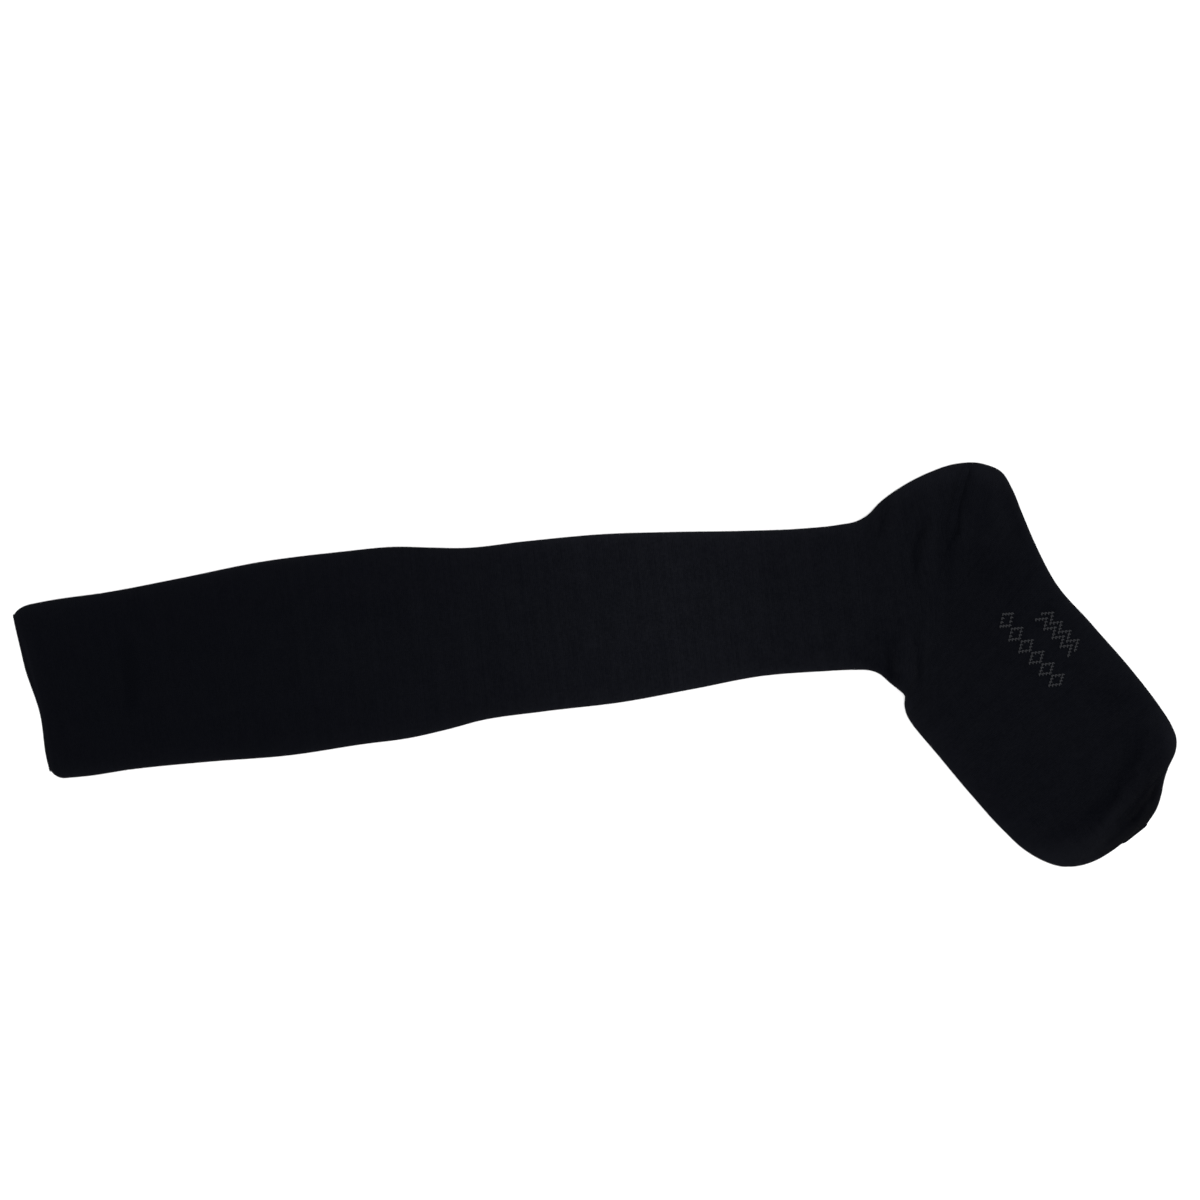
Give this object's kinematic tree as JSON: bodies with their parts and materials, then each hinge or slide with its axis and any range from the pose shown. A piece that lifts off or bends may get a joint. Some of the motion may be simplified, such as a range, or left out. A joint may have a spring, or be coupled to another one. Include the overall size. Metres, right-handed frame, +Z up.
{
  "type": "compression stocking",
  "caption": "Knee-high closed-toe compression stocking in black knit, laid flat on its side, with a turned top band, a knitted-in heel pouch and a linked toe seam.",
  "frame": {"origin": "centre of the bounding box, on the surface that the stocking lies on", "axes": "+X along the leg from the top edge to the heel, +Y towards the calf and heel side, +Z up from the surface"},
  "size_m": [0.5365, 0.1945, 0.0072],
  "materials": {
    "leg_knit": "matt black elastic jersey knit with a faint fuzz",
    "band_knit": "matt black elastic knit, turned double"
  },
  "bodies": {
    "root": {"welt_band": "band_knit", "leg_and_foot": "leg_knit", "toe_cap": "leg_knit"}
  },
  "joints": []
}
